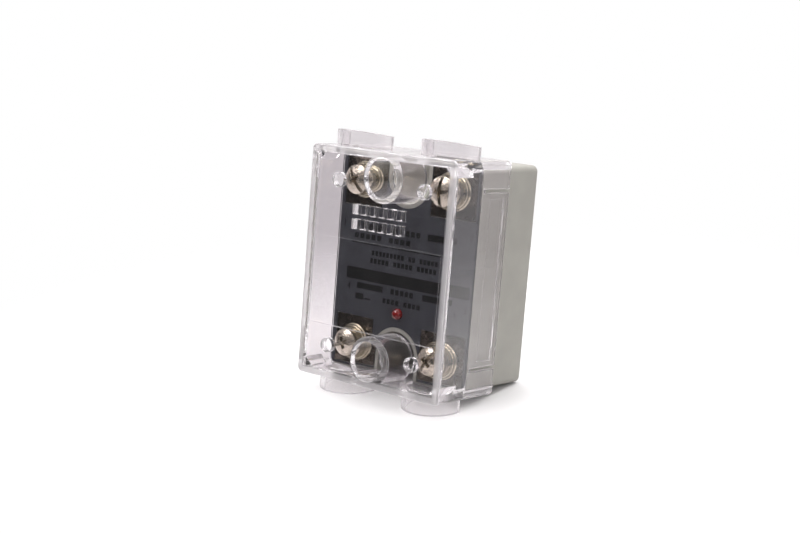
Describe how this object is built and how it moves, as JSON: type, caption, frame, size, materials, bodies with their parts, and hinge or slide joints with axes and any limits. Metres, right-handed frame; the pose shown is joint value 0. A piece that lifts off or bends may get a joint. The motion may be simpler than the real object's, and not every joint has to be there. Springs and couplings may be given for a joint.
{
  "type": "solid state relay",
  "caption": "Panel-mount solid state relay: moulded case on a metal base plate, screw clamp terminals and a clear lift-off terminal cover.",
  "frame": {"origin": "centre of the back mounting face of the base plate", "axes": "+Z along the length towards the output terminals, -Y out of the front cover towards the user, +Y into the panel, +X to the right as seen from the front"},
  "size_m": [0.0478, 0.0378, 0.07],
  "materials": {
    "aluminium_plate": "milled, matt",
    "grey_moulding": "fine matt moulding",
    "slate_label": "satin printed plate",
    "clear_cover": "clear polycarbonate",
    "plated_steel": "zinc plated",
    "nickel_plate": "nickel plated",
    "nickel_screw": "bright nickel",
    "red_lens": "diffused red",
    "board_green": "solder mask",
    "tinned_brass": "tinned",
    "white_ceramic": "alumina",
    "copper": "bare copper",
    "silicon": "polished die",
    "black_resin": "cast epoxy",
    "black_moulding": "epoxy package",
    "yellow_case": "film capacitor case",
    "resistor_coat": "lacquered body",
    "resistor_chip": "chip with tinned ends"
  },
  "bodies": {
    "root": {"base_plate": "aluminium_plate", "housing": "grey_moulding", "label_plate": "slate_label", "terminal_nuts": "plated_steel", "led_indicator": "red_lens", "led_leads": "plated_steel", "circuit_board": "board_green", "gate_pins": "tinned_brass", "ceramic_substrate": "white_ceramic", "copper_pads": "copper", "thyristor_chips": "silicon", "chip_straps": "copper", "potting_fill": "black_resin", "optocoupler": "black_moulding", "snubber_capacitor": "yellow_case", "snubber_resistor": "resistor_coat", "protection_diode": "black_moulding", "driver_transistor": "black_moulding", "input_resistors": "resistor_chip", "terminal_plate_1": "tinned_brass", "terminal_plate_2": "tinned_brass", "terminal_plate_3": "tinned_brass", "terminal_plate_4": "tinned_brass"},
    "cover": {"safety_cover": "clear_cover"},
    "clamp_1": {"cup_washer_1": "nickel_plate"},
    "screw_1": {"terminal_screw_1": "nickel_screw", "lock_washer_1": "nickel_plate"},
    "clamp_2": {"cup_washer_2": "nickel_plate"},
    "screw_2": {"terminal_screw_2": "nickel_screw", "lock_washer_2": "nickel_plate"},
    "clamp_3": {"cup_washer_3": "nickel_plate"},
    "screw_3": {"terminal_screw_3": "nickel_screw", "lock_washer_3": "nickel_plate"},
    "clamp_4": {"cup_washer_4": "nickel_plate"},
    "screw_4": {"terminal_screw_4": "nickel_screw", "lock_washer_4": "nickel_plate"}
  },
  "joints": [
    {"name": "cover_lift", "type": "slide", "parent": "root", "child": "cover", "axis": [0, -1, 0], "range_m": [0, 0.03]},
    {"name": "clamp_1_travel", "type": "slide", "parent": "root", "child": "clamp_1", "axis": [0, -1, 0], "range_m": [0, 0.00317]},
    {"name": "screw_1_turn", "type": "hinge", "parent": "clamp_1", "child": "screw_1", "pos_m": [-0.0142, -0.028, 0.0219], "axis": [0, -1, 0], "range_deg": [0, 1440]},
    {"name": "clamp_2_travel", "type": "slide", "parent": "root", "child": "clamp_2", "axis": [0, -1, 0], "range_m": [0, 0.00317]},
    {"name": "screw_2_turn", "type": "hinge", "parent": "clamp_2", "child": "screw_2", "pos_m": [0.0142, -0.028, 0.0219], "axis": [0, -1, 0], "range_deg": [0, 1440]},
    {"name": "clamp_3_travel", "type": "slide", "parent": "root", "child": "clamp_3", "axis": [0, -1, 0], "range_m": [0, 0.00317]},
    {"name": "screw_3_turn", "type": "hinge", "parent": "clamp_3", "child": "screw_3", "pos_m": [0.0142, -0.028, -0.0219], "axis": [0, -1, 0], "range_deg": [0, 1440]},
    {"name": "clamp_4_travel", "type": "slide", "parent": "root", "child": "clamp_4", "axis": [0, -1, 0], "range_m": [0, 0.00317]},
    {"name": "screw_4_turn", "type": "hinge", "parent": "clamp_4", "child": "screw_4", "pos_m": [-0.0142, -0.028, -0.0219], "axis": [0, -1, 0], "range_deg": [0, 1440]}
  ],
  "couplings": [
    {"joint": "screw_1_turn", "follows": "clamp_1_travel", "rad_per_m": 7915.8},
    {"joint": "screw_2_turn", "follows": "clamp_2_travel", "rad_per_m": 7915.8},
    {"joint": "screw_3_turn", "follows": "clamp_3_travel", "rad_per_m": 7915.8},
    {"joint": "screw_4_turn", "follows": "clamp_4_travel", "rad_per_m": 7915.8}
  ]
}
